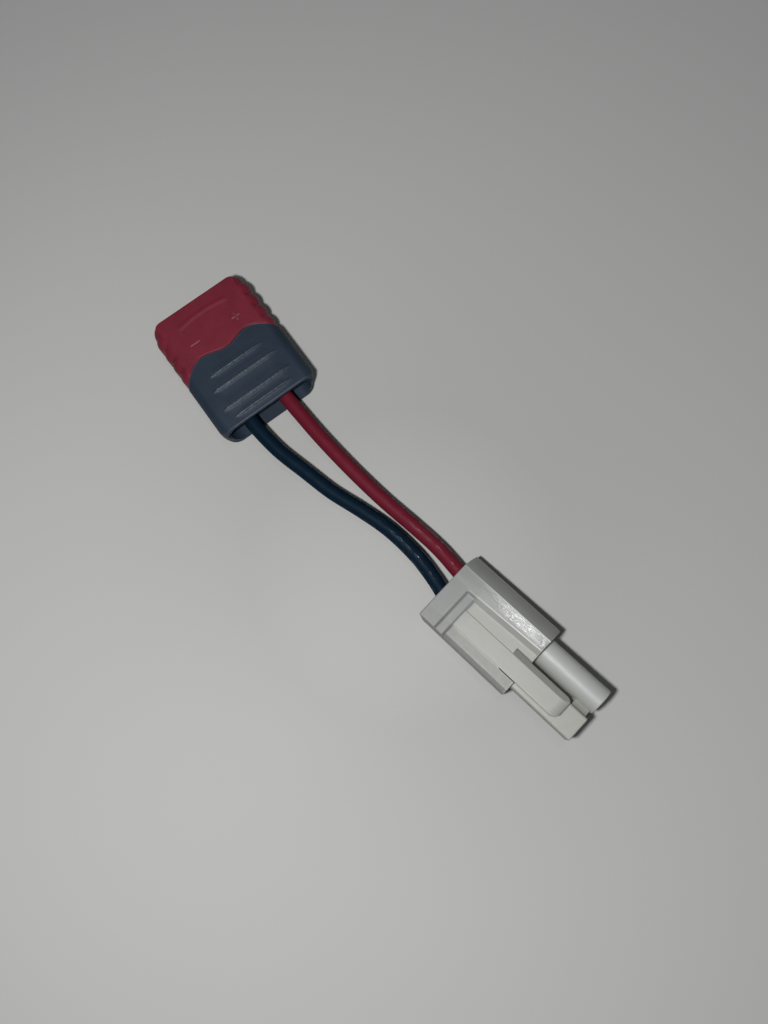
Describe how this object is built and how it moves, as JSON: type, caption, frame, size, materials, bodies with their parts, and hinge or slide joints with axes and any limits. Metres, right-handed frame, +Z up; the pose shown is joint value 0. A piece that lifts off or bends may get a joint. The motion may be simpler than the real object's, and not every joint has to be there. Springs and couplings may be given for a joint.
{
  "type": "battery adapter lead with t-plug socket",
  "caption": "Short two-wire adapter lead with a capped T plug socket at one end and a two-pole battery plug with a latch tongue at the other.",
  "frame": {"origin": "centre of the second grip rib's flat crest, under the cap, on the surface that the lead rests on", "axes": "+X along the T plug from its mating face to the wires and the battery plug, +Y to the positive (red) side, +Z up"},
  "size_m": [0.1043, 0.0282, 0.0114],
  "materials": {
    "red_nylon": "moulded, satin",
    "slate_cap": "moulded, satin",
    "gold_plate": "plated",
    "spring_steel": "rolled strip",
    "solder": "solidified solder",
    "red_insulation": "glossy silicone rubber",
    "black_insulation": "glossy silicone rubber",
    "natural_nylon": "natural translucent moulding"
  },
  "bodies": {
    "root": {"t_housing": "red_nylon", "rear_cap": "slate_cap", "contact_positive": "gold_plate", "contact_negative": "gold_plate", "spring_positive": "spring_steel", "spring_negative": "spring_steel", "solder_positive": "solder", "solder_negative": "solder", "red_strands_t": "solder", "black_strands_t": "solder", "red_wire": "red_insulation", "black_wire": "black_insulation", "red_strands_plug": "solder", "black_strands_plug": "solder", "plug_housing": "natural_nylon", "socket_positive": "gold_plate", "socket_negative": "gold_plate"}
  },
  "joints": []
}
